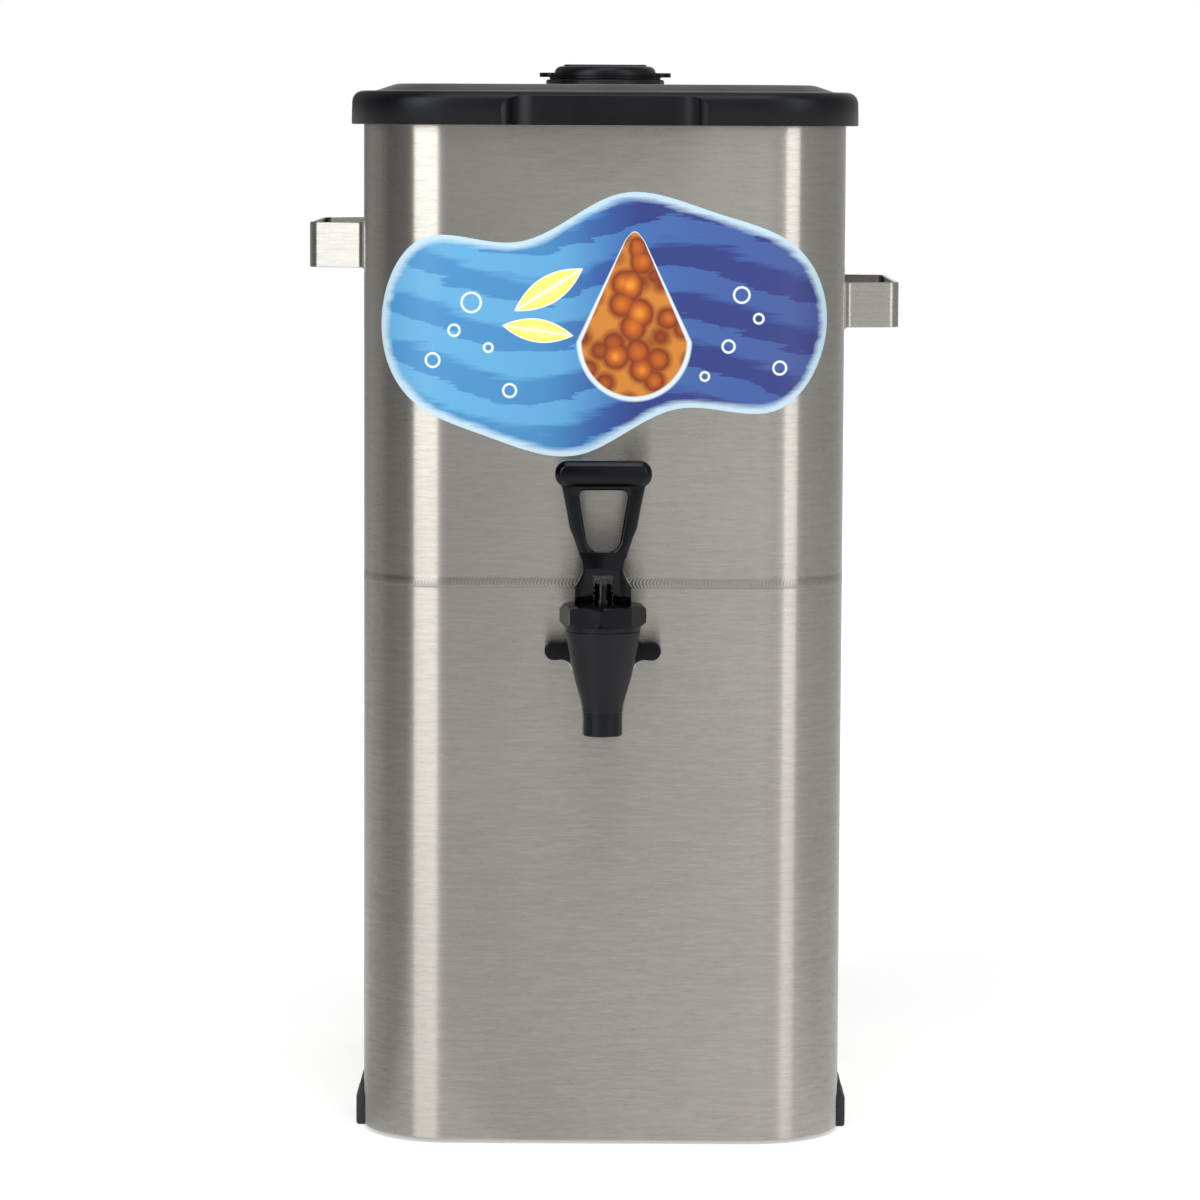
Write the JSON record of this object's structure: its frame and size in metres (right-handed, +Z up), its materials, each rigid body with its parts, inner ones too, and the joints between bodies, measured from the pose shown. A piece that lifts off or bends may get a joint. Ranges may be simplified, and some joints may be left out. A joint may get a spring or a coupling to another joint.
{
  "type": "iced tea dispenser",
  "caption": "Narrow stainless drink dispenser with a lift-off black lid and cap, staggered strap handles, rubber feet and a self-closing lever tap on a wing nut.",
  "frame": {"origin": "on the surface that the feet stand on, under the middle of the whole footprint, tap included", "axes": "+Z up, -Y towards the user at the tap, +X to the user's right"},
  "size_m": [0.285, 0.3599, 0.51],
  "materials": {
    "brushed_stainless": "fine horizontal brushed grain, satin",
    "strap_stainless": "fine grain along the strap, satin",
    "machined_stainless": "turned, half bright",
    "spring_steel": "bright wire",
    "satin_black_plastic": "fine moulded texture, satin",
    "gloss_black_plastic": "smooth moulded, glossy",
    "dark_grey_plastic": "smooth moulded, half matt",
    "black_rubber": "matt",
    "clear_silicone": "translucent, matt",
    "printed_film": "printed vinyl, smooth"
  },
  "bodies": {
    "dispenser": {"body_shell": "brushed_stainless", "tank_pan": "brushed_stainless", "left_handle": "strap_stainless", "right_handle": "strap_stainless", "foot_front_left": "black_rubber", "foot_front_right": "black_rubber", "foot_rear_left": "black_rubber", "foot_rear_right": "black_rubber", "front_decal": "printed_film", "outer_gasket": "clear_silicone", "tank_shank": "machined_stainless", "shank_nut": "machined_stainless", "faucet_body": "dark_grey_plastic", "faucet_bonnet": "gloss_black_plastic"},
    "lid": {"lid": "satin_black_plastic"},
    "cap": {"lid_cap": "satin_black_plastic"},
    "wing_nut": {"wing_nut": "gloss_black_plastic"},
    "stem": {"valve_stem": "gloss_black_plastic", "seat_cup": "clear_silicone", "stem_spring": "spring_steel"},
    "handle": {"faucet_handle": "gloss_black_plastic", "handle_pin": "machined_stainless"}
  },
  "joints": [
    {"name": "lid_lift", "type": "slide", "parent": "dispenser", "child": "lid", "axis": [0, 0, 1], "range_m": [0, 0.12]},
    {"name": "cap_lift", "type": "slide", "parent": "lid", "child": "cap", "axis": [0, 0, 1], "range_m": [0, 0.04]},
    {"name": "wing_nut_turn", "type": "hinge", "parent": "dispenser", "child": "wing_nut", "pos_m": [0, -0.132, 0.2365], "axis": [0, -1, 0], "continuous": true},
    {"name": "stem_lift", "type": "slide", "parent": "dispenser", "child": "stem", "axis": [0, 0, 1], "range_m": [0, 0.00503], "deforming": ["stem_spring"]},
    {"name": "handle_tilt", "type": "hinge", "parent": "stem", "child": "handle", "pos_m": [0, -0.16, 0.267], "axis": [1, 0, 0], "range_deg": [0, 60], "stiffness_Nm_per_rad": 0.1, "springref_deg": -57.3}
  ],
  "couplings": [
    {"joint": "stem_lift", "follows": "handle_tilt", "m_per_rad": 0.0048}
  ]
}
